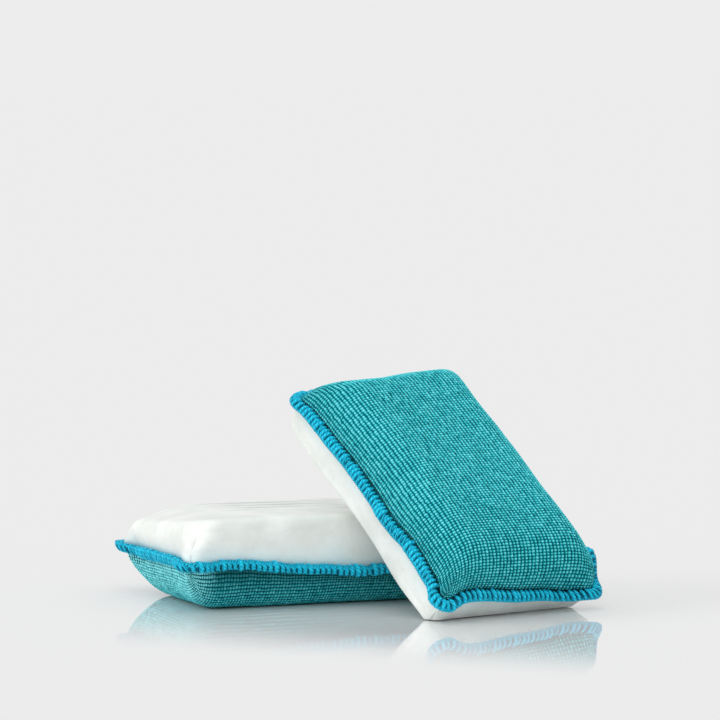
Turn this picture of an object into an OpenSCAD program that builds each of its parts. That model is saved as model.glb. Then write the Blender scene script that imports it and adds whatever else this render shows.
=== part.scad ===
// Magnetic glass cleaner: two soft two-sided cleaning pads, one for each side of the glass.
// Each pad is a sewn cover (ribbed microfibre on one face, smooth white cloth on the other)
// round two foam layers that hold a sealed case with two block magnets and a steel yoke.
// Millimetres, +Z up. The origin is the centre of the lying pad's flat underside.

/* [Pads] */
// Length over the stitched edge
pad_l = 130; // [110:1:150]
// Width over the stitched edge
pad_w = 88; // [74:1:100]
// Thickness from face to face
pad_t = 40; // [34:1:46]
// How far the stitched edge stands out of the cover
edge_w = 4.2; // [3:0.1:6]
// Height of the stitched edge
edge_h = 5.2; // [4:0.1:6]

/* [Covers] */
// Thickness of the microfibre, pile included
fibre_t = 1.4; // [0.9:0.1:2]
// Thickness of the smooth white cloth
cloth_t = 0.7; // [0.4:0.1:1]
// How far the microfibre face rounds in
fibre_round = 12; // [8:0.5:16]
// How far the white face rounds in
cloth_round = 5; // [4:0.5:12]
// Plan radius of the cover's corners
corner_r = 9; // [6:0.5:14]

/* [Magnet case] */
// Length of the case
case_l = 84; // [70:1:90]
// Width of the case
case_w = 44; // [38:1:50]
// Thickness of the plastic
wall = 1.4; // [1:0.1:2]
// Thickness of a block magnet
magnet_t = 5; // [4:0.5:6]
// Thickness of the steel yoke
yoke_t = 1.6; // [1:0.1:2]

/* [Leaning pad] */
// Slope of the leaning pad
lean = 38; // [32:0.5:42]
// Turn of the leaning pad about the vertical
turn = 17; // [5:0.5:22]
// Sideways place of the leaning pad's centre
lean_x = 51; // [44:1:60]

// Name of the sub-part to draw

/* [Hidden] */
$fn = 48;
gap = 0.1;                      // clearance between pieces of one pad
half_t = pad_t / 2;
ea = pad_l / 2 - edge_w;        // half length of the cover beside the stitching
eb = pad_w / 2 - edge_w;        // half width of the cover beside the stitching
hem = edge_w - 1.1;             // seam allowance inside the stitching
hem_t = 0.7;                    // thickness of one seam allowance
bow = 0.6;                      // outward bow of each side at its middle
pw = 2.3;                       // squareness of the faces' rounding
qw = pw / (pw - 1);
levels = 6;
foam_slack = 1.6;               // room left round the foam inside the cover
arc_n = 5;                      // steps round each corner
side_n = 4;                     // steps along each side
ring_n = 4 * (arc_n + side_n);

// One point of a rounded rectangle of half size a x b, counted round by i
function corner_c(k, a, b, r) = [(k == 0 || k == 3 ? 1 : -1) * (a - r), (k < 2 ? 1 : -1) * (b - r)];
function raw_pt(k, j, a, b, r) =
    let (c = corner_c(k, a, b, r), ang = 90 * k + 90 * min(j, arc_n) / arc_n,
         p = [c[0] + r * cos(ang), c[1] + r * sin(ang)])
    j <= arc_n ? p :
    let (d = corner_c((k + 1) % 4, a, b, r), e = 90 * (k + 1), q = [d[0] + r * cos(e), d[1] + r * sin(e)],
         f = (j - arc_n) / side_n)
    p + (q - p) * f;
function bowed(p, a, b) = [p[0] + sign(p[0]) * bow * (abs(p[0]) / a) * (1 - pow(p[1] / b, 2)),
                           p[1] + sign(p[1]) * bow * (abs(p[1]) / b) * (1 - pow(p[0] / a, 2))];
function ring(inset, z, r0 = corner_r) = let (a = ea - inset, b = eb - inset, r = max(2.5, r0 - inset * 0.2))
    [for (k = [0:3], j = [0:arc_n + side_n - 1])
        let (p = bowed(raw_pt(k, j, a, b, r), a, b)) [p[0], p[1], z]];

// A closed body through a list of rings, capped at both ends
module loft(rings) {
    n = ring_n; m = len(rings);
    polyhedron(points = [for (r = rings, p = r) p],
        faces = concat([[for (i = [n - 1:-1:0]) i]],
            [for (k = [0:m - 2], i = [0:n - 1]) [k * n + i, k * n + (i + 1) % n, (k + 1) * n + (i + 1) % n]],
            [for (k = [0:m - 2], i = [0:n - 1]) [k * n + i, (k + 1) * n + (i + 1) % n, (k + 1) * n + i]],
            [[for (i = [0:n - 1]) (m - 1) * n + i]]));
}

// A ring-shaped body: the last ring closes on the first
module loop_loft(rings) {
    n = ring_n; m = len(rings);
    polyhedron(points = [for (r = rings, p = r) p],
        faces = concat(
            [for (k = [0:m - 1], i = [0:n - 1]) [k * n + i, k * n + (i + 1) % n,
                ((k + 1) % m) * n + (i + 1) % n]],
            [for (k = [0:m - 1], i = [0:n - 1]) [k * n + i, ((k + 1) % m) * n + (i + 1) % n,
                ((k + 1) % m) * n + i]]));
}

// Inset and height of the face's rounding at step i of n, for an inner offset d
function round_in(i, n, rnd) = rnd * (1 - pow(cos(90 * i / n), 2 / pw));
function round_up(i, n, h) = h * pow(sin(90 * i / n), 2 / pw);
function face_ring(i, rnd, d, z0) =
    ring(d + round_in(i, levels, rnd),
        z0 + round_up(i, levels, half_t - d - z0));

// A cover: a cup of cloth with its seam allowance standing out all round
module cover(th, rnd) {
    z0 = 0.05;
    loft(concat(
        [for (i = [levels:-1:1]) face_ring(i, rnd, th, z0)],
        [ring(th, z0), ring(-hem, z0), ring(-hem, z0 + hem_t), ring(0, z0 + hem_t)],
        [for (i = [1:levels]) face_ring(i, rnd, 0, z0)]));
}

// Foam behind one face, from the face to the seam plane, with rounded corners and a little slack
module foam_fill(th, rnd, z0) {
    top = half_t - th - gap - foam_slack / 2;
    loft([for (i = [0:levels]) ring(th + gap + foam_slack + round_in(i, levels, rnd),
        z0 + round_up(i, levels, top - z0), corner_r + 9)]);
}

// Thread wrapped round both seam allowances: a C-shaped band, open towards the pad
module edge_band() {
    c = hem_t + 0.05 + gap;                // half height of the slot
    h = edge_h / 2;
    loop_loft([ring(-0.6, c), ring(-0.6, h - 0.5), ring(-1.2, h), ring(-edge_w + 1.1, h),
        ring(-edge_w + 0.2, h * 0.55), ring(-edge_w, 0), ring(-edge_w + 0.2, -h * 0.55),
        ring(-edge_w + 1.1, -h), ring(-1.2, -h), ring(-0.6, -h + 0.5), ring(-0.6, -c),
        ring(-hem - gap, -c), ring(-hem - gap, c)]);
}

// Case stack, counted from the working face: tray floor, magnets, yoke, gasket, lid
case_in = 4.2;                              // foam left in front of the case
tray_h = wall + magnet_t + yoke_t + 3 * gap;
case_z = -half_t + fibre_t + gap + case_in; // underside of the tray
mag_l = (case_l - 3 * wall) / 2 - 2 * gap;
mag_w = case_w - 2 * wall - 2 * gap;

module rounded_slab(l, w, h, r) {
    linear_extrude(h) union() {
        square([l - 2 * r, w], center = true);
        square([l, w - 2 * r], center = true);
        for (x = [-1, 1], y = [-1, 1]) translate([x * (l / 2 - r), y * (w / 2 - r)]) circle(r);
    }
}

module pad_smooth_face() { color("#f2f6f7") cover(cloth_t, cloth_round); }
module pad_microfibre_face() { color("#1f9fb4") mirror([0, 0, 1]) cover(fibre_t, fibre_round); }
module pad_edge_stitching() { color("#45b8e8") edge_band(); }
module pad_smooth_foam() { color("#e9edee") foam_fill(cloth_t, cloth_round, 0.05); }
module pad_scrub_foam() {
    color("#dfe3e2") difference() {
        mirror([0, 0, 1]) foam_fill(fibre_t, fibre_round, 0.05);
        translate([0, 0, case_z - gap]) rounded_slab(case_l + 2 * gap, case_w + 2 * gap, 40, 4 + gap);
    }
}
module pad_magnet_case() {
    color("#30343a") translate([0, 0, case_z]) difference() {
        rounded_slab(case_l, case_w, tray_h, 4);
        for (x = [-1, 1]) translate([x * (mag_l / 2 + gap + wall / 2), 0, wall])
            translate([-mag_l / 2 - gap, -mag_w / 2 - gap, 0])
                cube([mag_l + 2 * gap, mag_w + 2 * gap, magnet_t + gap]);
        translate([-case_l / 2 + wall, -case_w / 2 + wall, wall + magnet_t + gap])
            cube([case_l - 2 * wall, case_w - 2 * wall, 20]);
    }
}
module pad_magnet(side) {
    color("#b9bdc2") translate([side * (mag_l / 2 + gap + wall / 2) - mag_l / 2, -mag_w / 2, case_z + wall])
        cube([mag_l, mag_w, magnet_t]);
}
module pad_steel_yoke() {
    color("#8b9096") translate([-case_l / 2 + wall + gap, -case_w / 2 + wall + gap,
            case_z + wall + magnet_t + 2 * gap])
        cube([case_l - 2 * wall - 2 * gap, case_w - 2 * wall - 2 * gap, yoke_t]);
}
module pad_case_gasket() {
    color("#c2402c") translate([0, 0, case_z + tray_h + gap / 2]) difference() {
        rounded_slab(case_l - 0.6, case_w - 0.6, 0.8, 3.6);
        translate([0, 0, -1]) rounded_slab(case_l - 2 * wall, case_w - 2 * wall, 3, 2.4);
    }
}
module pad_case_lid() {
    color("#3a3f46") translate([0, 0, case_z + tray_h + gap / 2 + 0.8 + gap / 2])
        rounded_slab(case_l, case_w, wall, 4);
}

// The leaning pad touches the floor with its lower white edge and leans on the lying pad's
// front top edge; both places follow from the pads' rounded outlines.
lean_z = (ea + bow - cloth_round) * sin(lean)
    + pow(pow(cloth_round * sin(lean), qw) + pow(half_t * cos(lean), qw), 1 / qw) + 0.05;
dx = sin(turn) * sin(lean);
dy = cos(turn) * sin(lean);
dz = cos(lean);
top_r = corner_r - cloth_round * 0.2;
reach = dx * (ea + bow - cloth_round - top_r) + dy * (eb + bow - cloth_round - top_r) + top_r * sin(lean)
    + pow(pow((dx + dy) * cloth_round, qw) + pow(dz * half_t, qw), 1 / qw) + dz * half_t;
rest_gap = 0.3;                 // air left between the two pads
lean_y = -(reach + half_t + rest_gap - lean_x * dx - lean_z * dz) / dy;

module lying() { translate([0, 0, half_t]) children(); }
module leaning() {
    translate([lean_x, lean_y, lean_z]) rotate([0, 0, turn]) rotate([lean, 0, 0])
        rotate([0, 0, 90]) rotate([180, 0, 0]) children();
}

module wet_microfibre_face() { lying() pad_microfibre_face(); }
module wet_smooth_face() { lying() pad_smooth_face(); }
module wet_edge_stitching() { lying() pad_edge_stitching(); }
module wet_scrub_foam() { lying() pad_scrub_foam(); }
module wet_smooth_foam() { lying() pad_smooth_foam(); }
module wet_magnet_case() { lying() pad_magnet_case(); }
module wet_case_gasket() { lying() pad_case_gasket(); }
module wet_case_lid() { lying() pad_case_lid(); }
module wet_left_magnet() { lying() pad_magnet(-1); }
module wet_right_magnet() { lying() pad_magnet(1); }
module wet_steel_yoke() { lying() pad_steel_yoke(); }
module dry_microfibre_face() { leaning() pad_microfibre_face(); }
module dry_smooth_face() { leaning() pad_smooth_face(); }
module dry_edge_stitching() { leaning() pad_edge_stitching(); }
module dry_scrub_foam() { leaning() pad_scrub_foam(); }
module dry_smooth_foam() { leaning() pad_smooth_foam(); }
module dry_magnet_case() { leaning() pad_magnet_case(); }
module dry_case_gasket() { leaning() pad_case_gasket(); }
module dry_case_lid() { leaning() pad_case_lid(); }
module dry_left_magnet() { leaning() pad_magnet(-1); }
module dry_right_magnet() { leaning() pad_magnet(1); }
module dry_steel_yoke() { leaning() pad_steel_yoke(); }

wet_microfibre_face();
wet_smooth_face();
wet_edge_stitching();
wet_scrub_foam();
wet_smooth_foam();
wet_magnet_case();
wet_case_gasket();
wet_case_lid();
wet_left_magnet();
wet_right_magnet();
wet_steel_yoke();
dry_microfibre_face();
dry_smooth_face();
dry_edge_stitching();
dry_scrub_foam();
dry_smooth_foam();
dry_magnet_case();
dry_case_gasket();
dry_case_lid();
dry_left_magnet();
dry_right_magnet();
dry_steel_yoke();
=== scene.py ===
import math

import bpy
import numpy as np

from mathutils import Matrix

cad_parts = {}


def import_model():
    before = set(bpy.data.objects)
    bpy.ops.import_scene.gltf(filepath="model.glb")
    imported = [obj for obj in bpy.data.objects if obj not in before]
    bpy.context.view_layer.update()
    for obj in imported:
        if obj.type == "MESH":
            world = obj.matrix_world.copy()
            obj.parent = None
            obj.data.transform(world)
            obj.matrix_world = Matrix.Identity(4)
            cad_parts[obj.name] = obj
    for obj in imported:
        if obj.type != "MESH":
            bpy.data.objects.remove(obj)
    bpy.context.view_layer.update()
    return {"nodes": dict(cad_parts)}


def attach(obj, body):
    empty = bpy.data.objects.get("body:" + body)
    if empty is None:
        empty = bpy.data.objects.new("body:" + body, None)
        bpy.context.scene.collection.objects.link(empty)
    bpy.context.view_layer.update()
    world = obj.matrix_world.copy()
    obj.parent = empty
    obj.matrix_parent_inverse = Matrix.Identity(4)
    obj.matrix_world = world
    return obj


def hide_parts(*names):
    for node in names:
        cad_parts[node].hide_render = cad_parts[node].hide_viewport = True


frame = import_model()
MM = 0.001
rad = math.radians

# ------------------------------------------------------------------ camera
# a long lens, low down, turned a little to the lying pad's right
AZ, EL, DIST = rad(21.2), rad(4.6), 2.4
VIEW_WIDTH = 0.31752  # how much the picture spans at the pads, in m
SENSOR = 36  # in mm
right = np.array([math.cos(AZ), -math.sin(AZ), 0.0])
flat_fwd = np.array([math.sin(AZ), math.cos(AZ), 0.0])
fwd = flat_fwd * math.cos(EL) - np.array([0, 0, math.sin(EL)])
up = flat_fwd * math.sin(EL) + np.array([0, 0, math.cos(EL)])
target = right * 0.0300 + up * 0.1041
cam = bpy.data.objects.new("camera", bpy.data.cameras.new("camera"))
bpy.context.scene.collection.objects.link(cam)
cam.data.lens = SENSOR * DIST / VIEW_WIDTH
cam.data.clip_start, cam.data.clip_end = 0.1, 200
m = np.eye(4)
m[:3, 0], m[:3, 1], m[:3, 2], m[:3, 3] = right, up, -fwd, target - DIST * fwd
cam.matrix_world = Matrix(m.tolist())
bpy.context.scene.camera = cam

# ------------------------------------------------------------------ the pads' sizes, as in the CAD, in mm
PAD_L, PAD_W, PAD_T, EDGE_W = 130.0, 88.0, 40.0, 4.2
EA, EB, HT, CORNER = PAD_L / 2 - EDGE_W, PAD_W / 2 - EDGE_W, PAD_T / 2, 2.4
LEAN, TURN, LEAN_X = rad(38), rad(17), 51.0
# the four corners of a pad in plan, counted round
CORNER_ORDER = [(1, 1), (-1, 1), (-1, -1), (1, -1)]


def rise(v, at, width):
    """Goes smoothly from 0 to 1 where v passes at."""
    return 1 / (1 + np.exp(-(v - at) / width))


def fall(v, at, width):
    """Goes smoothly from 1 to 0 where v passes at."""
    return 1 / (1 + np.exp((v - at) / width))


def hump(v, at, width):
    """1 where v is at, fading to 0 on both sides."""
    return np.exp(-(((v - at) / width) ** 2))


def leaning_place():
    """Where the leaning pad's centre lies, found as in the CAD from the pads' rounded outlines."""
    ea, eb, rnd, bow, cr, pw = EA, EB, 5.0, 0.6, 9.0, 2.3
    q = pw / (pw - 1)
    s, c = math.sin(LEAN), math.cos(LEAN)
    z = (ea + bow - rnd) * s + ((rnd * s) ** q + (HT * c) ** q) ** (1 / q) + 0.05
    dx, dy, dz = math.sin(TURN) * s, math.cos(TURN) * s, c
    tr = cr - rnd * 0.2
    reach = (dx * (ea + bow - rnd - tr) + dy * (eb + bow - rnd - tr) + tr * s
             + (((dx + dy) * rnd) ** q + (dz * HT) ** q) ** (1 / q) + dz * HT)
    return np.array([LEAN_X, -(reach + HT + 0.3 - LEAN_X * dx - z * dz) / dy, z])


def rot(axis, a):
    """A turn by the angle a about x or z."""
    c, s = math.cos(a), math.sin(a)
    return np.array([[1, 0, 0], [0, c, -s], [0, s, c]] if axis == "x" else [[c, -s, 0], [s, c, 0], [0, 0, 1]])


PLACES = {
    "wet": (np.eye(3), np.array([0, 0, HT])),
    "dry": (rot("z", TURN) @ rot("x", LEAN) @ rot("z", math.pi / 2) @ rot("x", math.pi), leaning_place()),
}
FOOT_AT, FOOT_BLEND = -46.0, 5.0  # where along the leaning pad its foot begins, and how softly, in mm
FOOT_PRESS, GROUND_SOFT = 1.5, 0.3  # how far the foot is pressed down, and how softly it meets the ground


def world(p, half):
    """From a pad's own place to the shared frame; the leaning pad's foot is pressed flat on the ground."""
    r, t = PLACES[half]
    q = warp(p, half) @ r.T + t
    if half == "dry":
        q[..., 2] -= FOOT_PRESS * fall(p[..., 0], FOOT_AT, FOOT_BLEND)
        q[..., 2] = GROUND_SOFT * np.logaddexp(0, q[..., 2] / GROUND_SOFT)
    return q * MM


# ------------------------------------------------------------------ mesh helpers
def mesh_object(name, verts, quads, uv=None, attrs=None, smooth=True):
    """An object from arrays: verts in metres, quads as rows of four vertex numbers, uv per vertex."""
    me = bpy.data.meshes.new(name)
    n, f = len(verts), len(quads)
    me.vertices.add(n)
    me.vertices.foreach_set("co", np.ascontiguousarray(verts, dtype=np.float32).ravel())
    me.loops.add(4 * f)
    me.loops.foreach_set("vertex_index", np.ascontiguousarray(quads, dtype=np.int32).ravel())
    me.polygons.add(f)
    me.polygons.foreach_set("loop_start", np.arange(0, 4 * f, 4, dtype=np.int32))
    me.update(calc_edges=True)
    me.validate()
    if smooth:
        me.polygons.foreach_set("use_smooth", np.ones(len(me.polygons), dtype=bool))
    if uv is not None:
        idx = np.empty(len(me.loops), dtype=np.int32)
        me.loops.foreach_get("vertex_index", idx)
        layer = me.uv_layers.new(name="UVMap")
        layer.data.foreach_set("uv", np.ascontiguousarray(uv[idx], dtype=np.float32).ravel())
    for k, v in (attrs or {}).items():
        a = me.attributes.new(k, "FLOAT", "POINT")
        a.data.foreach_set("value", np.ascontiguousarray(v, dtype=np.float32))
    ob = bpy.data.objects.new(name, me)
    bpy.context.scene.collection.objects.link(ob)
    return ob


def grid_quads(n, m_, flip=False):
    """Faces of an n x m_ grid of vertices."""
    i, j = np.meshgrid(np.arange(n - 1), np.arange(m_ - 1), indexing="ij")
    a = (i * m_ + j).ravel()
    q = np.stack([a, a + m_, a + m_ + 1, a + 1], -1)
    return q[:, ::-1] if flip else q


def catmull(points, n):
    """A smooth curve through points, sampled n times between each two."""
    p = np.array(points, float)
    p = np.vstack([2 * p[0] - p[1], p, 2 * p[-1] - p[-2]])
    t = np.linspace(0, 1, n, endpoint=False)[:, None]
    out = []
    for k in range(1, len(p) - 2):
        a, b, c, d = p[k - 1], p[k], p[k + 1], p[k + 2]
        square, cube = 2 * a - 5 * b + 4 * c - d, 3 * b - a - 3 * c + d
        out.append(0.5 * (2 * b + (c - a) * t + square * t**2 + cube * t**3))
    return np.vstack(out + [p[-2][None]])


# ------------------------------------------------------------------ the shape of a face
# from the seam to the flat: how far in from the cover's edge, and how high
FACE = {
    "smooth": [(0.4, 0.5), (-0.6, 2.4), (-0.9, 5.6), (-0.7, 9.4), (-0.2, 13.2), (0.5, 16.4), (1.7, 18.7),
               (3.6, 19.7), (7.0, 20.0), (11.0, 20.0)],
    "fibre": [(1.3, 0.4), (0.2, 1.5), (-0.4, 3.6), (-0.2, 6.4), (0.9, 9.9), (3.1, 13.4), (6.3, 16.6),
              (10.6, 19.1), (15.5, 20.0)],
}


class Side:
    """Turns a length along the cloth, counted from the face's middle, into a place in and a height."""

    def __init__(self, kind, edge):
        c = catmull(FACE[kind], 24)[::-1]
        x, z = edge - c[:, 0], c[:, 1]
        x, z = np.concatenate([[0], x]), np.concatenate([[HT], z])
        self.s = np.concatenate([[0], np.cumsum(np.hypot(np.diff(x), np.diff(z)))])
        self.x, self.z, self.length = x, z, self.s[-1]

    def at(self, u):
        """The place in mm and the height as a share of the full height, at the length u."""
        a = np.minimum(np.abs(u), self.length)
        return np.sign(u) * np.interp(a, self.s, self.x), np.interp(a, self.s, self.z) / HT


def waves(x, y, seed, n, low, high):
    """Smooth unevenness: a sum of n slanted sines, with wavelengths from low to high mm. About -1 to 1."""
    rng = np.random.default_rng(seed)
    out = np.zeros(np.broadcast(x, y).shape)
    for k in range(n):
        w, a, ph = rng.uniform(low, high), rng.uniform(0, 2 * math.pi), rng.uniform(0, 2 * math.pi)
        out += np.sin(2 * math.pi * (x * math.cos(a) + y * math.sin(a)) / w + ph)
    return out / math.sqrt(n) * 0.8


def round_corners(x, y, r):
    """Rounds the four corners of the plan with the radius r."""
    dx, dy = np.abs(x) - (EA - r), np.abs(y) - (EB - r)
    on = (dx > 0) & (dy > 0)
    k = np.where(on, np.maximum(dx, dy) / np.maximum(np.hypot(dx, dy), 1e-9), 1.0)
    return np.where(on, np.sign(x) * (EA - r + dx * k), x), np.where(on, np.sign(y) * (EB - r + dy * k), y)


# how each corner of the seam, in CORNER_ORDER, is drawn out, lifted towards the white face (in mm)
# and curled (in degrees)
CORNERS = {
    "wet": [(1.5, 0, 0), (3.6, 0.6, 8), (2.6, -0.2, -5), (1.5, 0, 0)],
    "dry": [(1.5, 0, -10), (1.6, -1.0, -25), (2.4, 2.8, -12), (1.6, 0.6, -15)],
}
CORNER_REACH = {"wet": 8.0, "dry": 5.5}  # how far from a corner it is drawn out and lifted
CURL_REACH = 8.0  # and how far it is curled


def seam_field(x, y, half):
    """The seam's unevenness by its place: outwards and up in mm, and the stitched edge's tilt in radians."""
    seed = 3 if half == "wet" else 11
    out = 0.35 * waves(x, y, seed, 5, 22, 60)
    lift = 0.65 * waves(x, y, seed + 1, 5, 26, 70) + 0.18 * waves(x, y, seed + 2, 4, 9, 16)
    tilt = rad(9) * waves(x, y, seed + 3, 5, 24, 60)
    for (sx, sy), (o, l, t) in zip(CORNER_ORDER, CORNERS[half]):
        d = np.hypot(x - sx * EA, y - sy * EB)
        w = hump(d, 0, CORNER_REACH[half])
        out, lift, tilt = out + o * w, lift + l * w, tilt + rad(t) * hump(d, 0, CURL_REACH)
    if half == "wet":  # the seam droops along the front, the more the further to the right
        lift = lift + fall(y, 0, 8.0) * (1.4 - 6.4 * rise(x, -20, 16.0))
    else:  # the seam is pressed towards the white face along the foot, and stands up just past the far corner
        lift = lift + fall(x, -40, 6.0) * (0.3 + 4.6 * rise(y, 12, 8.0))
        tab = hump(x, -50, 7.0) * rise(y, 36, 1.5)
        out, lift, tilt = out + 2.6 * tab, lift - 8.5 * tab, tilt - rad(55) * tab
    return out, lift, tilt


def warp(p, half):
    """Each pad's own lopsidedness, as soft sewn things have."""
    x, y, z = p[..., 0], p[..., 1], p[..., 2]
    white = z > 0
    if half == "dry":
        # the right-hand edge is a little longer than the left
        share = np.clip((y + EB) / (2 * EB), 0, 1)
        foot = np.where(x < 0, 1 - rise(z, 6.0, 2.0), 1.0)
        x = x * (1 + 0.045 * share * foot * np.where(x > 0, 1.4, 1.0))
        # the top end leans over to the left
        y = y - 2.4 * rise(x, 30, 10.0)
        # the white side bulges out over the seam at the near top corner
        near = hump(np.minimum(x - EA, 0), 0, 14.0) * fall(y, -10, 8.0)
        x = x + 5.5 * near * (1 - hump(np.maximum(z, 0), 0, 6.0))
        z = np.where(white, z * (1 - 0.12 * near), z)
        # the ribbed side is drawn back along the top end and out at its far corner
        end = rise(x, 44, 5.0) * (1 - hump(np.minimum(z, 0), 0, 4.0))
        drawn = end * rise(y, 34, 3.0)
        x = x - 1.5 * end * hump(y, -24, 13.0) + 2.6 * drawn
        y = y + 2.6 * drawn
        # the foot's far corner is squashed sideways
        y = y + 7.0 * np.clip(z / 10, 0, 1) * fall(x, FOOT_AT, FOOT_BLEND) * rise(y, 26, 5.0)
        # the white side is fuller low down on the left
        z = np.where(white, z * (1 + 0.15 * hump(x, -34, 20.0) * fall(y, -12, 8.0)), z)
    else:
        # the filling is thinner at the far left corner, and slopes a little to the right and to the back
        thin = hump(x, -EA - 2, 17.0) * (0.45 + 0.4 * y / EB)
        z = np.where(white, z * (1 - 0.42 * thin * np.clip(z / HT, 0, 1)), z)
        z = np.where(white, z * (1 - 0.012 * (x / EA + 1) - 0.02 * (y / EB + 1)), z)
        # the left end bulges out over the seam
        bulge = np.sin(math.pi * np.clip(z / HT, 0, 1))
        x = x - 5.0 * hump(x, -EA, 10.0) * (0.65 + 0.35 * y / EB) * bulge
    return np.stack([x, y, z], -1)


def plan_normal(x, y):
    """The outward direction in plan near the edge."""
    nx, ny = np.sign(x) * np.abs(x / EA) ** 14, np.sign(y) * np.abs(y / EB) ** 10
    n = np.maximum(np.hypot(nx, ny), 1e-6)
    return nx / n, ny / n


def unlevel(p, half):
    """Moves points near the seam with the seam's unevenness, and a little further up at the corners."""
    x, y, z = p[..., 0], p[..., 1], p[..., 2]
    out, lift, _ = seam_field(x, y, half)
    far = np.hypot(EA - np.abs(x), EB - np.abs(y))
    w = hump(z, 0, 7.0 + 1.5 * hump(far, 0, 14.0))
    nx, ny = plan_normal(x, y)
    edge = np.clip(np.maximum(np.abs(x) / EA, np.abs(y) / EB), 0, 1) ** 8
    return np.stack([x + nx * out * w * edge, y + ny * out * w * edge, z + lift * w * edge], -1)


# how much rounder the plan's corners get from the seam up to the flat, in mm
ROUNDER = {("smooth", "wet"): 12.5, ("smooth", "dry"): 5.0, ("fibre", "wet"): 5.5, ("fibre", "dry"): 3.0}
BLEND = 1.6  # how softly the heights of two sides meet at a corner


def face_points(kind, us, vs, half):
    """The even shape of one face: a grid of points at lengths us along the pad and vs across it."""
    (x, zx), (y, zy) = Side(kind, EA).at(us), Side(kind, EB).at(vs)
    x, y = np.meshgrid(x, y, indexing="ij")
    zx, zy = np.meshgrid(np.maximum(zx, 1e-3), np.maximum(zy, 1e-3), indexing="ij")
    z = HT * (zx**-BLEND + zy**-BLEND - 1) ** (-1 / BLEND)
    x, y = round_corners(x, y, CORNER + ROUNDER[kind, half] * np.clip(z / HT, 0, 1) ** 0.8)
    sign = 1.0 if kind == "smooth" else -1.0
    return np.stack([x, y, sign * z], -1)


# ------------------------------------------------------------------ cloth simulation of the filled covers
NU, NV = 43, 31  # points of the coarse cover along and across
SIM_SCALE = 10  # the simulation runs at ten times life size
SIM_FRAMES = 20
MOST_MOVE = 0.6  # how far the simulation may move a point, in mm


def coarse(kind):
    """The lengths along and across one face where the coarse cover has its points."""
    a, b = Side(kind, EA).length, Side(kind, EB).length
    return np.linspace(-a, a, NU), np.linspace(-b, b, NV)


def swell(half):
    """Blows up a coarse closed cover as cloth round its filling: how far each face's points moved, in mm."""
    grids = {k: unlevel(face_points(k, *coarse(k), half), half) for k in FACE}
    top, low = grids["smooth"], grids["fibre"]
    idx = np.arange(NU * NV).reshape(NU, NV)
    inner = np.zeros((NU, NV), bool)
    inner[1:-1, 1:-1] = True
    low_idx = idx.copy()
    low_idx[inner] = NU * NV + np.arange(inner.sum())
    verts = np.vstack([top.reshape(-1, 3), low[inner]])
    edge_mid = (top + low) / 2
    verts[idx[~inner]] = edge_mid[~inner]
    q1 = grid_quads(NU, NV)
    q2 = low_idx.ravel()[grid_quads(NU, NV, flip=True)]
    ob = mesh_object("swelling", verts * (SIM_SCALE * MM), np.vstack([q1, q2]))
    vg = ob.vertex_groups.new(name="held")
    vg.add([int(i) for i in idx[~inner]], 1.0, "REPLACE")
    md = ob.modifiers.new("Cloth", "CLOTH")
    st = md.settings
    st.quality, st.mass = 7, 0.3
    st.tension_stiffness = st.compression_stiffness = 18
    st.shear_stiffness, st.bending_stiffness = 6, 0.6
    st.use_pressure, st.uniform_pressure_force = True, 4.0
    st.effector_weights.gravity = 0
    st.vertex_group_mass = "held"
    st.pin_stiffness = 0.6
    st.shrink_min = -0.02
    md.collision_settings.use_collision = False
    sc = bpy.context.scene
    sc.frame_start, sc.frame_end = 1, SIM_FRAMES
    md.point_cache.frame_start, md.point_cache.frame_end = 1, SIM_FRAMES
    for f in range(1, SIM_FRAMES + 1):
        sc.frame_set(f)
    ev = ob.evaluated_get(bpy.context.evaluated_depsgraph_get())
    co = np.empty(len(ev.data.vertices) * 3, dtype=np.float32)
    ev.data.vertices.foreach_get("co", co)
    sc.frame_set(1)
    move = co.reshape(-1, 3).astype(float) / (SIM_SCALE * MM) - verts
    bpy.data.objects.remove(ob, do_unlink=True)
    size = np.linalg.norm(move, axis=1, keepdims=True)
    move *= np.minimum(1, MOST_MOVE / np.maximum(size, 1e-6))
    out = {"smooth": move[idx], "fibre": move[low_idx]}
    for g in out.values():  # the cloth's own stiffness evens out the smallest dents
        for _ in range(2):
            beside = g[:-2, 1:-1] + g[2:, 1:-1] + g[1:-1, :-2] + g[1:-1, 2:]
            g[1:-1, 1:-1] = (2 * g[1:-1, 1:-1] + beside) / 6
    return out


def cubic_rows(n_from, at):
    """Weights that read a smooth curve through n_from even samples at the places at, from 0 to 1."""
    t = np.clip(at, 0, 1) * (n_from - 1)
    i = np.clip(np.floor(t).astype(int), 0, n_from - 2)
    f = t - i
    w = np.zeros((len(at), n_from))
    ks = [-0.5 * f + f**2 - 0.5 * f**3, 1 - 2.5 * f**2 + 1.5 * f**3, 0.5 * f + 2 * f**2 - 1.5 * f**3,
          -0.5 * f**2 + 0.5 * f**3]
    for k, wk in zip((-1, 0, 1, 2), ks):
        np.add.at(w, (np.arange(len(at)), np.clip(i + k, 0, n_from - 1)), wk)
    return w


def soften(move, us, vs, a, b):
    """The coarse grid's movement, read smoothly at the fine grid's places."""
    along, across = cubic_rows(NU, (us / a + 1) / 2), cubic_rows(NV, (vs / b + 1) / 2)
    return np.einsum("ia,abk,jb->ijk", along, move, across)


def normals(p):
    """The direction square to a grid of points, at each of them."""
    n = np.cross(np.gradient(p, axis=0), np.gradient(p, axis=1))
    return n / np.maximum(np.linalg.norm(n, axis=-1, keepdims=True), 1e-9)


# ------------------------------------------------------------------ seam path
ROUND_SHARE, SHORT_SHARE = 1.5, 0.84  # stitches sit closer round the corners and wider apart on the short sides


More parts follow.
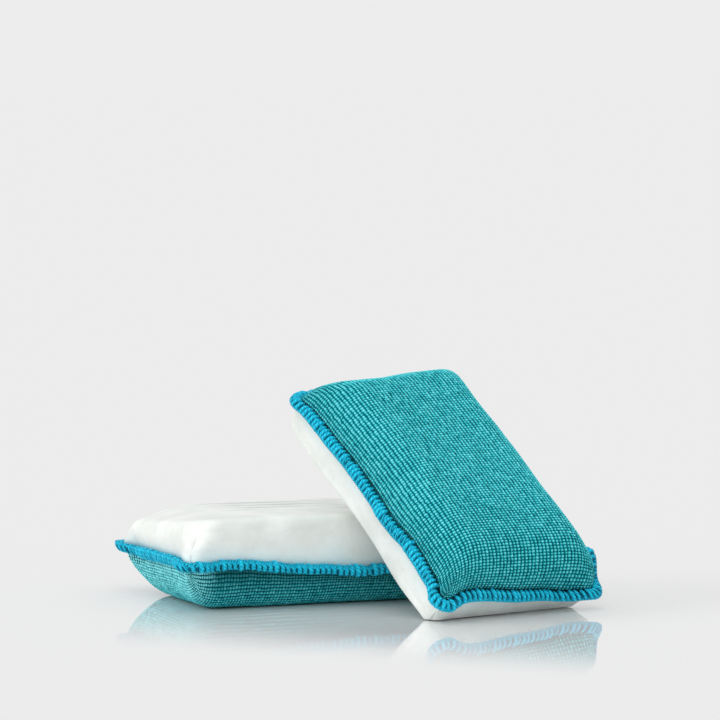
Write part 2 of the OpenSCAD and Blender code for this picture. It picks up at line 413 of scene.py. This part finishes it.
def seam_path(pitch, reach):
    """Places along the rounded outline, evenly spread at the distance reach outside it: root, normal, tangent."""
    a, b, r = EA - CORNER, EB - CORNER, CORNER
    segs = []
    for k, (sx, sy) in enumerate(CORNER_ORDER):
        nx, ny = [(0, 1), (-1, 0), (0, -1), (1, 0)][k]
        length = 2 * (a if k % 2 == 0 else b)
        start = np.array([sx * a, sy * b])
        side_share = 1.0 if k % 2 == 0 else SHORT_SHARE
        segs.append(("arc", start, 90 * k, ROUND_SHARE * (r + reach) * math.pi / 2, r * math.pi / 2))
        segs.append(("line", start + r * np.array([nx, ny]), (nx, ny), length * side_share, length))
    total = sum(s[3] for s in segs)
    n = int(round(total / pitch))
    roots, nrm = [], []
    for d in (np.arange(n) + 0.5) * total / n:
        for kind, start, what, length, true in segs:
            if d <= length:
                break
            d -= length
        if kind == "arc":
            ang = rad(what) + d / length * math.pi / 2
            nn = np.array([math.cos(ang), math.sin(ang)])
            roots.append(start + r * nn)
        else:
            nn = np.array(what, float)
            roots.append(start + d / length * true * np.array([-nn[1], nn[0]]))
        nrm.append(nn)
    roots, nrm = np.array(roots), np.array(nrm)
    return roots, nrm, np.stack([-nrm[:, 1], nrm[:, 0]], -1)


def on_seam(roots, nrm, tan, r, z, t, half):
    """Points given by distance out r, height z and distance along t from places on the seam."""
    out, lift, tilt = seam_field(roots[:, 0], roots[:, 1], half)
    c, s = np.cos(tilt)[:, None], np.sin(tilt)[:, None]
    rr, zz = r * c - z * s + out[:, None], r * s + z * c + lift[:, None]
    n3 = np.concatenate([nrm, np.zeros((len(nrm), 1))], -1)[:, None]
    t3 = np.concatenate([tan, np.zeros((len(tan), 1))], -1)[:, None]
    base = np.concatenate([roots, np.zeros((len(roots), 1))], -1)[:, None]
    return base + n3 * rr[..., None] + t3 * t[..., None] + np.array([0, 0, 1.0]) * zz[..., None]


def tubes(paths, side_dir, wide, thick, sides):
    """Threads along paths (n, m, 3): an oval section, wide along side_dir. Returns vertices, faces and uv."""
    n, m_, _ = paths.shape
    tan = np.gradient(paths, axis=1)
    tan /= np.maximum(np.linalg.norm(tan, axis=-1, keepdims=True), 1e-9)
    s = np.broadcast_to(side_dir[:, None], paths.shape)
    s = s - tan * np.sum(s * tan, -1, keepdims=True)
    s /= np.maximum(np.linalg.norm(s, axis=-1, keepdims=True), 1e-9)
    w = np.cross(tan, s)
    ang = np.arange(sides) * 2 * math.pi / sides
    taper = np.ones(m_)
    taper[0] = taper[-1] = 0.55
    wide, thick = (np.asarray(size).reshape(-1, 1, 1, 1) for size in (wide, thick))
    section = np.cos(ang)[:, None] * s[:, :, None] * wide + np.sin(ang)[:, None] * w[:, :, None] * thick
    v = paths[:, :, None] + section * taper[None, :, None, None]
    i, j, k = np.meshgrid(np.arange(n), np.arange(m_ - 1), np.arange(sides), indexing="ij")
    at = lambda a, b, c: ((a * m_ + b) * sides + c % sides).ravel()
    q = np.stack([at(i, j, k), at(i, j, k + 1), at(i, j + 1, k + 1), at(i, j + 1, k)], -1)
    along = np.broadcast_to(np.linspace(0, 1, m_)[None, :, None], (n, m_, sides))
    round_ = np.broadcast_to((np.arange(sides) / sides)[None, None], (n, m_, sides))
    uv = np.stack([along + np.arange(n)[:, None, None], round_], -1).reshape(-1, 2)
    return v.reshape(-1, 3), q, uv


# ------------------------------------------------------------------ materials
def new_material(name):
    """A material with one Principled shader and nothing else."""
    mat = bpy.data.materials.new(name)
    mat.use_nodes = True
    nt = mat.node_tree
    nt.nodes.clear()
    out = nt.nodes.new("ShaderNodeOutputMaterial")
    bs = nt.nodes.new("ShaderNodeBsdfPrincipled")
    nt.links.new(bs.outputs[0], out.inputs[0])
    return mat, nt, bs


class Nodes:
    """Short ways to make shader nodes."""

    def __init__(self, nt):
        self.nt = nt

    def put(self, socket, v):
        """Links v to a socket, or sets the socket if v is a plain value."""
        if isinstance(v, bpy.types.NodeSocket):
            self.nt.links.new(v, socket)
        else:
            socket.default_value = v

    def math(self, op, a, b=0.0, c=None):
        n = self.nt.nodes.new("ShaderNodeMath")
        n.operation = op
        self.put(n.inputs[0], a)
        self.put(n.inputs[1], b)
        if c is not None:
            self.put(n.inputs[2], c)
        return n.outputs[0]

    def mix(self, f, a, b):
        n = self.nt.nodes.new("ShaderNodeMix")
        n.data_type = "RGBA"
        self.put(n.inputs[0], f)
        self.put(n.inputs[6], a)
        self.put(n.inputs[7], b)
        return n.outputs[2]

    def noise(self, vec, scale, detail=2.0, rough=0.5):
        n = self.nt.nodes.new("ShaderNodeTexNoise")
        self.put(n.inputs["Vector"], vec)
        self.put(n.inputs["Scale"], scale)
        self.put(n.inputs["Detail"], detail)
        self.put(n.inputs["Roughness"], rough)
        return n.outputs[0]

    def ramp(self, f, lo, hi, out_lo=0.0, out_hi=1.0):
        n = self.nt.nodes.new("ShaderNodeMapRange")
        n.interpolation_type = "SMOOTHSTEP"
        for s, v in zip(n.inputs[:5], (f, lo, hi, out_lo, out_hi)):
            self.put(s, v)
        return n.outputs[0]

    def coord(self, what):
        return self.nt.nodes.new("ShaderNodeTexCoord").outputs[what]

    def attr(self, name):
        n = self.nt.nodes.new("ShaderNodeAttribute")
        n.attribute_name = name
        return n.outputs["Fac"]

    def split(self, v):
        n = self.nt.nodes.new("ShaderNodeSeparateXYZ")
        self.put(n.inputs[0], v)
        return n.outputs

    def join(self, x, y, z=0.0):
        n = self.nt.nodes.new("ShaderNodeCombineXYZ")
        for s, v in zip(n.inputs, (x, y, z)):
            self.put(s, v)
        return n.outputs[0]

    def cell(self, vec):
        n = self.nt.nodes.new("ShaderNodeTexWhiteNoise")
        n.noise_dimensions = "2D"
        self.put(n.inputs["Vector"], vec)
        return n.outputs["Value"]

    def bump(self, h, dist, strength=1.0):
        n = self.nt.nodes.new("ShaderNodeBump")
        self.put(n.inputs["Height"], h)
        self.put(n.inputs["Distance"], dist)
        self.put(n.inputs["Strength"], strength)
        return n.outputs[0]


def microfibre():
    """Ribbed teal knit, laid out by the UV map, one unit to a stitch: painted shade in the gaps between loops, a
    painted highlight on the loop tops, more painted shade on the sides and by the stitching, and a painted
    highlight at the wet pad's left end.
    """
    mat, nt, bs = new_material("microfibre_teal")
    k = Nodes(nt)
    uv, obj = k.coord("UV"), k.coord("Object")
    wander_u, wander_v = k.noise(obj, 420.0, 2.0), k.noise(obj, 900.0, 2.0)
    s = k.split(uv)
    u = k.math("ADD", s[0], k.math("MULTIPLY", k.math("SUBTRACT", wander_u, 0.5), 0.65))
    v = k.math("ADD", s[1], k.math("MULTIPLY", k.math("SUBTRACT", wander_v, 0.5), 0.65))
    fu, fv = k.math("FRACT", u), k.math("FRACT", v)
    hu = k.math("SINE", k.math("MULTIPLY", fu, math.pi))
    hv = k.math("SINE", k.math("MULTIPLY", fv, math.pi))
    rows = k.math("POWER", hv, k.math("SUBTRACT", 0.62, k.math("MULTIPLY", k.attr("ribbed"), 0.37)))
    h = k.math("MULTIPLY", k.math("POWER", hu, 0.85), rows)
    each = k.cell(k.join(k.math("FLOOR", u), k.math("FLOOR", v)))
    fuzz = k.noise(obj, 3200.0, 3.0, 0.6)
    tone = k.math("ADD", h, k.math("ADD", k.math("MULTIPLY", k.math("SUBTRACT", each, 0.5), 0.22),
                                   k.math("MULTIPLY", k.math("SUBTRACT", fuzz, 0.5), 0.5)))
    # painted shade: the gaps between loops are coloured deep teal; painted highlight: the loop tops are coloured
    # pale; each stitch and the fuzz add their own random tone
    low = k.mix(k.ramp(tone, 0.18, 0.66), (0.000, 0.108, 0.134, 1), (0.010, 0.490, 0.555, 1))
    col = k.mix(k.ramp(tone, 0.55, 1.12), low, (0.205, 0.850, 0.900, 1))
    # painted shade on the pad's sides, where less light falls, and in the hollow by the stitching
    col = k.mix(k.attr("fibre_shade"), col, (0.000, 0.040, 0.048, 1))
    # painted highlight on the loops at the wet pad's left end
    col = k.mix(k.math("MULTIPLY", k.attr("end_highlight"), k.ramp(tone, 0.2, 0.9)), col, (0.330, 0.900, 0.930, 1))
    k.put(bs.inputs["Base Color"], col)
    bs.inputs["Roughness"].default_value = 0.75
    bs.inputs["Specular IOR Level"].default_value = 0.05
    bs.inputs["Sheen Weight"].default_value = 0.02
    bs.inputs["Sheen Roughness"].default_value = 0.4
    k.put(bs.inputs["Normal"], k.bump(k.math("ADD", h, k.math("MULTIPLY", fuzz, 0.35)), 0.00045, 0.8))
    return mat


def smooth_cloth():
    """Satin white cloth, bluish and darker near the seam, where a blue tint is mixed with painted shade, with
    painted grey shade in its folds.
    """
    mat, nt, bs = new_material("smooth_white")
    k = Nodes(nt)
    obj = k.coord("Object")
    seam = k.attr("seam")  # 1 at the seam, 0 away from it
    blotch = k.noise(obj, 60.0, 3.0)
    fine = k.noise(obj, 260.0, 3.0, 0.6)
    base = k.mix(k.ramp(blotch, 0.3, 0.7), (0.750, 0.782, 0.748, 1), (0.880, 0.900, 0.868, 1))
    # bluish and darker towards the seam: a blue tint in the cloth, and painted shade where the face turns down
    # into the seam
    near = k.ramp(k.math("ADD", seam, k.math("MULTIPLY", k.math("SUBTRACT", fine, 0.5), 0.7)), 0.62, 1.05)
    base = k.mix(k.math("MULTIPLY", near, 0.55), base, (0.250, 0.560, 0.640, 1))
    wide = k.ramp(k.math("ADD", seam, k.math("MULTIPLY", k.math("SUBTRACT", blotch, 0.5), 0.9)), 0.2, 0.95)
    base = k.mix(k.math("MULTIPLY", wide, 0.60), base, (0.520, 0.740, 0.780, 1))
    # painted shade in the wrinkles' valleys and in the corner pleats
    base = k.mix(k.math("MULTIPLY", k.ramp(k.attr("fold_shade"), 0.10, 0.95), 0.80), base, (0.35, 0.365, 0.35, 1))
    mottle = k.ramp(k.noise(obj, 420.0, 4.0, 0.65), 0.42, 0.62)
    base = k.mix(k.math("MULTIPLY", mottle, 0.16), base, (0.640, 0.690, 0.650, 1))
    speck = k.ramp(k.noise(obj, 700.0, 1.0), 0.74, 0.78)
    base = k.mix(k.math("MULTIPLY", speck, 0.5), base, (0.93, 0.95, 0.93, 1))
    k.put(bs.inputs["Base Color"], base)
    bs.inputs["Roughness"].default_value = 0.42
    bs.inputs["Subsurface Weight"].default_value = 0.25
    bs.inputs["Subsurface Radius"].default_value = (0.003, 0.003, 0.003)
    bs.inputs["Subsurface Scale"].default_value = 1.0
    bs.inputs["Coat Weight"].default_value = 0.25
    bs.inputs["Coat Roughness"].default_value = 0.3
    weave = k.noise(obj, 5200.0, 1.0)
    k.put(bs.inputs["Normal"], k.bump(k.math("ADD", fine, k.math("MULTIPLY", weave, 0.2)), 0.00025, 0.5))
    return mat


def thread():
    """Sky-blue twisted thread, with painted shade where threads touch and over the core under the wraps."""
    mat, nt, bs = new_material("edge_thread_blue")
    k = Nodes(nt)
    uv, obj = k.coord("UV"), k.coord("Object")
    s = k.split(uv)
    twist = k.math("SINE", k.math("MULTIPLY", k.math("ADD", k.math("MULTIPLY", s[0], 7.0),
                                                     k.math("MULTIPLY", s[1], 3.0)), 2 * math.pi))
    fuzz = k.noise(obj, 2600.0, 2.0)
    tone = k.math("ADD", k.math("MULTIPLY", twist, 0.22), fuzz)
    col = k.mix(k.ramp(tone, 0.2, 0.85), (0.001, 0.330, 0.590, 1), (0.005, 0.760, 0.990, 1))
    glint = k.ramp(k.noise(obj, 1500.0, 2.0), 0.52, 0.66)
    col = k.mix(k.math("MULTIPLY", glint, 0.5), col, (0.060, 0.860, 1.000, 1))
    # painted shade where threads touch and over the core
    col = k.mix(k.math("MULTIPLY", k.attr("thread_shade"), 0.80), col, (0.000, 0.070, 0.130, 1))
    k.put(bs.inputs["Base Color"], col)
    bs.inputs["Roughness"].default_value = 0.55
    bs.inputs["Specular IOR Level"].default_value = 0.15
    bs.inputs["Sheen Weight"].default_value = 0.02
    k.put(bs.inputs["Normal"], k.bump(tone, 0.00018, 0.7))
    return mat


def plain(name, colour, other, scale, rough, metal=0.0, bump=0.0001):
    """Two tones of one colour in fine noise, for the pieces sealed inside."""
    mat, nt, bs = new_material(name)
    k = Nodes(nt)
    n = k.noise(k.coord("Object"), scale, 3.0)
    k.put(bs.inputs["Base Color"], k.mix(k.ramp(n, 0.35, 0.65), (*colour, 1), (*other, 1)))
    bs.inputs["Roughness"].default_value = rough
    bs.inputs["Metallic"].default_value = metal
    k.put(bs.inputs["Normal"], k.bump(n, bump, 0.5))
    return mat


MATS = {
    "microfibre": microfibre(),
    "smooth_cloth": smooth_cloth(),
    "edge_thread": thread(),
    "foam": plain("foam_pale", (0.80, 0.82, 0.80), (0.60, 0.63, 0.61), 1400.0, 0.9, bump=0.0004),
    "case_plastic": plain("case_dark", (0.025, 0.03, 0.036), (0.035, 0.04, 0.048), 900.0, 0.45),
    "gasket_rubber": plain("gasket_red", (0.36, 0.045, 0.03), (0.30, 0.035, 0.025), 900.0, 0.6),
    "magnet_plating": plain("magnet_nickel", (0.56, 0.57, 0.58), (0.50, 0.51, 0.53), 300.0, 0.22, 1.0, 0.00003),
    "yoke_steel": plain("yoke_zinc", (0.42, 0.43, 0.45), (0.33, 0.34, 0.36), 500.0, 0.35, 1.0, 0.00005),
}
# the pieces sealed inside, shown as in the CAD, and what they are made of
INNER = {"magnet_case": "case_plastic", "case_gasket": "gasket_rubber", "case_lid": "case_plastic",
         "left_magnet": "magnet_plating", "right_magnet": "magnet_plating", "steel_yoke": "yoke_steel"}

# ------------------------------------------------------------------ the pads
RIB, STITCH_ROW = 1.94, 1.36  # the knit's pitch across and along the pad, in mm
LOOP_RISE = np.array([0.0, 0.72, 1.0, 0.72])  # a loop's height at the four lines of a stitch
KNIT_DEPTH = 0.52  # how deep the gaps between loops are, in mm


def knit_lines(length, pitch):
    """Four lines per stitch, from edge to edge, with a gap line at each end."""
    n = int(round(2 * length / pitch))
    i = np.arange(4 * n + 1)
    return (i / (4 * n) * 2 - 1) * length, i / 4.0, LOOP_RISE[i % 4]


def fibre_face(half, moved):
    """The ribbed microfibre face, with every loop of its knit."""
    a, b = Side("fibre", EA).length, Side("fibre", EB).length
    us, cu, hu = knit_lines(a, STITCH_ROW)
    vs, cv, hv = knit_lines(b, RIB)
    p = unlevel(face_points("fibre", us, vs, half), half) + soften(moved, us, vs, a, b)
    seed = 21 if half == "wet" else 31
    n = normals(p)
    if np.sum(n[..., 2]) > 0:
        n = -n
    du, dv = a - np.abs(us), b - np.abs(vs)
    edge = np.minimum.outer(np.clip(du / 9, 0, 1), np.clip(dv / 9, 0, 1))
    soft = 0.20 * waves(p[..., 0], p[..., 1], seed, 6, 24, 60) - 0.20
    deep = KNIT_DEPTH * (1 - np.outer(0.25 + 0.75 * hu**0.8, hv))
    p = p + n * (soft * edge - deep)[..., None]
    if half == "wet":  # it lies flat on the ground
        p[..., 2] = np.maximum(p[..., 2], -HT)
    x, z = p[..., 0], p[..., 2]
    side = np.clip(1.15 - np.abs(z) / HT, 0, 1)
    root = hump(np.minimum.outer(du, dv), 0, 2.4)  # where painted shade lies, deep in the hollow by the stitching
    if half == "wet":
        end = np.clip((12 - EA - x) / 10, 0, 1)  # painted highlight at the left end, where the key light falls from the left
        shade, ribbed = 0.78, np.full_like(x, 0.3)
    else:
        end = np.zeros_like(x)
        shade, ribbed = 0.18, 0.75 * rise(x, -30, 6.0)  # the rows show less than the ribs, except at the foot
    # painted shade: on the sides, where less light falls, and in the hollow by the stitching
    fibre_shade = np.maximum(side * (1 - end) * shade, 0.85 * root)
    attrs = {"fibre_shade": fibre_shade.ravel(), "end_highlight": (0.95 * end * side**0.5).ravel(), "ribbed": ribbed.ravel()}
    uv = np.stack(np.meshgrid(cv, cu, indexing="xy"), -1).reshape(-1, 2)
    quads = grid_quads(len(us), len(vs), flip=True)
    return mesh_object(f"{half}_microfibre", world(p.reshape(-1, 3), half), quads, uv, attrs)


CLOTH_POINTS = 281, 211  # points of the white face along and across


def smooth_face(half, moved):
    """The white face, with the wrinkles, puckers and pleats of its cloth."""
    a, b = Side("smooth", EA).length, Side("smooth", EB).length
    us, vs = (np.linspace(-size, size, count) for size, count in zip((a, b), CLOTH_POINTS))
    p = unlevel(face_points("smooth", us, vs, half), half) + soften(moved, us, vs, a, b)
    seed = 41 if half == "wet" else 51
    n = normals(p)
    if np.sum(n[..., 2]) < 0:
        n = -n
    x, y, z = p[..., 0], p[..., 1], p[..., 2]
    gu, gv = np.meshgrid(us, vs, indexing="ij")
    du, dv = a - np.abs(gu), b - np.abs(gv)
    edge = np.clip(np.minimum(du, dv) / 6, 0, 1)
    # long wrinkles along the flat face, soft puckers down the sides, and gathered pleats at the corners
    # the second number sets how strong the painted shade in the wrinkles' valleys is
    deep, dark, puckered = (1.1, 1.0, 0.16) if half == "wet" else (0.5, 0.15, 0.32)
    flat = np.clip((z - 15) / 3, 0, 1)
    long_ = -np.abs(np.sin(math.pi * (y + 2.4 * waves(x, y, seed, 4, 50, 110) + 0.05 * x) / 10.5)) ** 2.6
    fade = np.clip(0.55 + 0.7 * waves(x / 3, y, seed + 1, 4, 14, 36), 0, 1) * rise(x, -30, 7.0) * rise(y, -14, 4.0)
    wr = deep * flat * fade * long_ - 0.1 * flat
    # painted shade along the wrinkles' valleys
    fold_shade = dark * flat * fade * -long_
    puck = waves(gu, gv, seed + 2, 6, 9, 22)
    wr += (1 - flat) * (puckered * puck + 0.26 * waves(gu, gv, seed + 3, 4, 26, 60) - 0.42)
    for sx, sy in CORNER_ORDER:
        cx, cy = sx * (a - 4), sy * (b - 4)
        dx, dy = gu - cx, gv - cy
        r = np.hypot(dx, dy)
        ang = np.arctan2(dy * sy, dx * sx)
        pleat = hump(r, 12, 10) * np.abs(np.sin(6.5 * ang + seed)) ** 2 * (r > 1)
        wr += -0.5 * pleat
        # painted shade in the pleats
        fold_shade = fold_shade + 0.3 * pleat
    # the cloth is stretched smooth where two sides meet low down at a corner
    wr *= 1 - hump(du - dv, 0, 6.0) * np.clip(1.7 - np.minimum(du, dv) / 15, 0, 1)
    p = p + n * (wr * edge)[..., None]
    p[..., 2] = np.minimum(p[..., 2], HT)
    seam = np.exp(-np.minimum(du, dv) / 8.0)
    return mesh_object(f"{half}_white_cloth", world(p.reshape(-1, 3), half), grid_quads(len(us), len(vs)),
                       None, {"seam": seam.ravel(), "fold_shade": np.clip(fold_shade, 0, 1).ravel()})


FOAM_POINTS = 97, 71  # points of a foam layer along and across
FOAM_SHARE = np.array([0.95, 0.93, 0.90])  # the foam's length, width and height as shares of its cover's
POCKET_L, POCKET_W, POCKET_D = 86.0, 46.0, 14.6  # the pocket for the magnet case, in mm


def foam_piece(kind, half, moved):
    """One foam layer, a little smaller than its cover, with the case's pocket in the layer behind the fibre."""
    a, b = Side(kind, EA).length, Side(kind, EB).length
    us, vs = (np.linspace(-size, size, count) for size, count in zip((a, b), FOAM_POINTS))
    p = unlevel(face_points(kind, us, vs, half), half) + soften(moved, us, vs, a, b)
    p = p * FOAM_SHARE
    s = 1.0 if kind == "smooth" else -1.0
    p[..., 2] = s * np.maximum(s * p[..., 2], 0.6)
    q = p.copy()
    pocket = (np.abs(q[..., 0]) < POCKET_L / 2) & (np.abs(q[..., 1]) < POCKET_W / 2) & (kind == "fibre")
    q[..., 2] = np.where(pocket, -POCKET_D, s * 0.2)
    n = len(us) * len(vs)
    idx = np.arange(n).reshape(len(us), len(vs))
    rim = np.concatenate([idx[:-1, 0], idx[-1, :-1], idx[:0:-1, -1], idx[0, :0:-1]])
    nxt = np.roll(rim, -1)
    wall = np.stack([rim, nxt, nxt + n, rim + n], -1)
    top = grid_quads(len(us), len(vs))
    quads = np.vstack([top, top[:, ::-1] + n, wall[:, ::-1]])
    if kind == "fibre":
        quads = quads[:, ::-1]
    name = "smooth_foam_layer" if kind == "smooth" else "scrub_foam_layer"
    return mesh_object(f"{half}_{name}", world(np.vstack([p.reshape(-1, 3), q.reshape(-1, 3)]), half), quads)


# the section of a seam allowance: how far out and how high its four points lie, in mm
HEM_OUT, HEM_UP = np.array([-2.2, 0.2, 1.6, 2.8]), np.array([0.75, 0.6, 0.45, 0.3])


def hem_strip(kind, half):
    """The seam allowance that runs out under the stitching."""
    roots, nrm, tan = seam_path(1.2, 0.0)
    s = 1.0 if kind == "smooth" else -1.0
    r, z = HEM_OUT[None].repeat(len(roots), 0), s * HEM_UP[None].repeat(len(roots), 0)
    p = on_seam(roots, nrm, tan, r, z, np.zeros_like(r), half)
    p = np.concatenate([p, p[:1]], 0)
    return p, grid_quads(p.shape[0], 4, flip=kind == "smooth")


STITCH = {"wet": 2.7, "dry": 2.3}  # the pitch of the overlock stitches, in mm
STITCH_OUT = 2.2  # how far outside the cover's outline that pitch is measured
EDGE_MID = 1.55  # how far outside the outline the middle of the stitched edge lies
CORE_STEPS, CORE_POINTS = 8, 11  # steps per stitch along the core under the wraps, and points round it


def contact_shade(sides, verts, strength=1.0):
    """How close each point of an oval thread's surface is to the thread beside it: painted shade is laid there."""
    return np.tile(np.abs(np.cos(np.arange(sides) * 2 * math.pi / sides)) ** 2 * strength, len(verts) // sides)


def edge_stitching(half):
    """The overlock thread: wraps over the edge, a core, two twisted looper strands, and one laid slantwise."""
    pitch = STITCH[half]
    roots, nrm, tan = seam_path(pitch, STITCH_OUT)
    n = len(roots)
    t3 = np.concatenate([tan, np.zeros((n, 1))], -1)
    rng = np.random.default_rng(5 if half == "wet" else 6)
    big = 1 + 0.10 * rng.standard_normal(n)[:, None]
    slip = 0.18 * rng.standard_normal(n)[:, None]
    if half == "wet":  # at the left end the stitches have bunched in twos
        odd = (np.arange(n) % 2 * 2 - 1)[:, None] * (roots[:, :1] < -EA + 1)
        big, slip = big + 0.10 * odd, slip + 0.16 * pitch * odd
    # the wrap: down into the white side's seam, round the edge, down into the fibre side's seam
    k = np.linspace(0, 1, 17)[None]
    ang = rad(132) - k * rad(264)
    z = 1.60 * np.sin(ang) * big
    z[:, 0] *= 0.5
    z[:, -1] *= 0.5
    wrap = on_seam(roots, nrm, tan, EDGE_MID + 1.95 * np.cos(ang) * big, z, pitch * (-0.5 + k) * 0.45 + slip, half)
    v1, q1, uv1 = tubes(wrap, t3, 0.445 * pitch * big.ravel(), 0.92 * big.ravel(), 10)
    # the core under the wraps
    fine = seam_path(pitch / CORE_STEPS, STITCH_OUT)
    steps = len(fine[0])
    ang = np.linspace(rad(150), rad(-150), CORE_POINTS)[None].repeat(steps, 0)
    core = on_seam(*fine, EDGE_MID + 1.65 * np.cos(ang), 1.35 * np.sin(ang), 0 * ang, half)
    core = np.concatenate([core, core[:1]], 0).reshape(-1, 3)
    q2 = grid_quads(steps + 1, CORE_POINTS)
    # the two looper strands, twisted along the edge on the white side
    strands = []
    for turn in (0, math.pi):
        ph = 2 * math.pi * n * (np.arange(steps)[:, None] + 0.5) / steps + turn
        q = on_seam(*fine, 3.10 + 0.50 * np.cos(ph), 1.15 + 0.70 * np.sin(ph), 0 * ph, half)[:, 0]
        strands.append(np.concatenate([q, q[:1]], 0))
    v3, q3, uv3 = tubes(np.array(strands), np.array([[0, 0, 1.0], [0, 0, 1.0]]), 0.55, 0.50, 8)
    # one more looper crosses the wraps slantwise on the outside
    k = np.linspace(0, 1, 13)[None]
    ang = rad(48) - k * rad(132)
    lift = 1 + 0.05 * rng.standard_normal(n)[:, None]
    slant = on_seam(roots, nrm, tan, EDGE_MID + 2.42 * np.cos(ang) * lift, 2.06 * np.sin(ang) * lift,
                    pitch * (1.25 * k - 0.6) + slip, half)
    v4, q4, uv4 = tubes(slant, t3, 0.46, 0.40, 6)
    # painted shade: where threads touch, and all over the core under the wraps
    dark = np.concatenate([contact_shade(10, v1), np.ones(len(core)), contact_shade(8, v3, 0.9), contact_shade(6, v4, 0.9)])
    starts = np.cumsum([0, len(v1), len(core), len(v3)])
    quads = np.vstack([q + start for q, start in zip((q1, q2, q3, q4), starts)])
    uv = np.vstack([uv1, np.zeros((len(core), 2)), uv3 * np.array([n, 1]), uv4])
    return mesh_object(f"{half}_overlock_thread", world(np.vstack([v1, core, v3, v4]), half), quads, uv,
                       {"thread_shade": dark})


for half, body in (("wet", "wet_half"), ("dry", "dry_half")):
    moved = swell(half)
    fib, smo, thr = fibre_face(half, moved["fibre"]), smooth_face(half, moved["smooth"]), edge_stitching(half)
    for ob, node, mat in ((fib, "microfibre_face", "microfibre"), (smo, "smooth_face", "smooth_cloth"),
                          (thr, "edge_stitching", "edge_thread")):
        ob.data.materials.append(MATS[mat])
        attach(ob, body)
        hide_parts(f"{half}_{node}")
    for kind, node in (("smooth", "smooth_foam"), ("fibre", "scrub_foam")):
        foam = foam_piece(kind, half, moved[kind])
        foam.data.materials.append(MATS["foam"])
        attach(foam, body)
        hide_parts(f"{half}_{node}")
    for kind, mat in (("fibre", "microfibre"), ("smooth", "smooth_cloth")):
        p, q = hem_strip(kind, half)
        hem = mesh_object(f"{half}_{kind}_seam_allowance", world(p.reshape(-1, 3), half), q)
        hem.data.materials.append(MATS[mat])
        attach(hem, body)
    for node, mat in INNER.items():
        ob = frame["nodes"][f"{half}_{node}"]
        if not ob.material_slots:
            ob.data.materials.append(MATS[mat])
        for slot in ob.material_slots:
            slot.material = MATS[mat]

# ------------------------------------------------------------------ floor and light
floor_mat = bpy.data.materials.new("floor_pale")
floor_mat.use_nodes = True
nt = floor_mat.node_tree
nt.nodes.clear()
fo, fd, fg, fm = (nt.nodes.new(t) for t in ("ShaderNodeOutputMaterial", "ShaderNodeBsdfDiffuse",
                                            "ShaderNodeBsdfGlossy", "ShaderNodeMixShader"))
fd.inputs[0].default_value = (0.770, 0.770, 0.770, 1)
fg.inputs[0].default_value = (1.167, 1.167, 1.167, 1)
fg.inputs["Roughness"].default_value = 0.03
# the sheen is strongest beside the pads and fades out towards the front
SHEEN_NONE, SHEEN_FULL, SHEEN_MOST = -0.205, -0.085, 0.50  # where it ends and where it is full, in m
kf = Nodes(nt)
spot = kf.split(kf.coord("Object"))


def floor_distance(direction):
    """How far a spot on the floor lies from the middle in a level direction, in m."""
    return kf.math("ADD", kf.math("MULTIPLY", spot[0], float(direction[0])),
                   kf.math("MULTIPLY", spot[1], float(direction[1])))


ahead, across = floor_distance(flat_fwd), floor_distance(right)
near = kf.math("ADD", ahead, kf.math("MULTIPLY", across, 0.5))
nt.links.new(kf.ramp(near, SHEEN_NONE, SHEEN_FULL, 0.0, SHEEN_MOST), fm.inputs[0])
nt.links.new(fd.outputs[0], fm.inputs[1])
nt.links.new(fg.outputs[0], fm.inputs[2])
nt.links.new(fm.outputs[0], fo.inputs[0])
FLOOR, FLOOR_Z = 30, -0.0003  # half the floor's size, and how far it lies under the pads, in m
floor_corners = [[sx * FLOOR, sy * FLOOR, FLOOR_Z] for sx, sy in CORNER_ORDER[2:] + CORNER_ORDER[:2]]
floor = mesh_object("floor", np.array(floor_corners), np.array([[0, 1, 2, 3]]), smooth=False)
floor.data.materials.append(floor_mat)

wd = bpy.data.worlds.new("studio")
bpy.context.scene.world = wd
wd.use_nodes = True
bg = wd.node_tree.nodes["Background"]
bg.inputs[0].default_value = (1, 1, 1, 1)
bg.inputs[1].default_value = 0.72


def add_sun(name, to_light, energy, angle):
    """A soft sun: to_light points towards it, and angle is how wide it looks, in degrees."""
    ob = bpy.data.objects.new(name, bpy.data.lights.new(name, "SUN"))
    bpy.context.scene.collection.objects.link(ob)
    ob.data.energy, ob.data.angle = energy, rad(angle)
    d = to_light / np.linalg.norm(to_light)
    ax = np.cross([0, 0, 1.0], d)
    ob.rotation_mode = "AXIS_ANGLE"
    ob.rotation_axis_angle = (math.acos(d[2]), *(ax / np.linalg.norm(ax)))


up_z = np.array([0, 0, 1.0])
add_sun("key", -right * 0.85 + up_z * 0.45 - flat_fwd * 0.25, 0.85, 30)  # low on the viewer's left
add_sun("fill", -right * 0.10 + up_z * 0.80 - flat_fwd * 0.58, 0.95, 50)  # softer, from above
bpy.context.scene.view_settings.view_transform = "Standard"
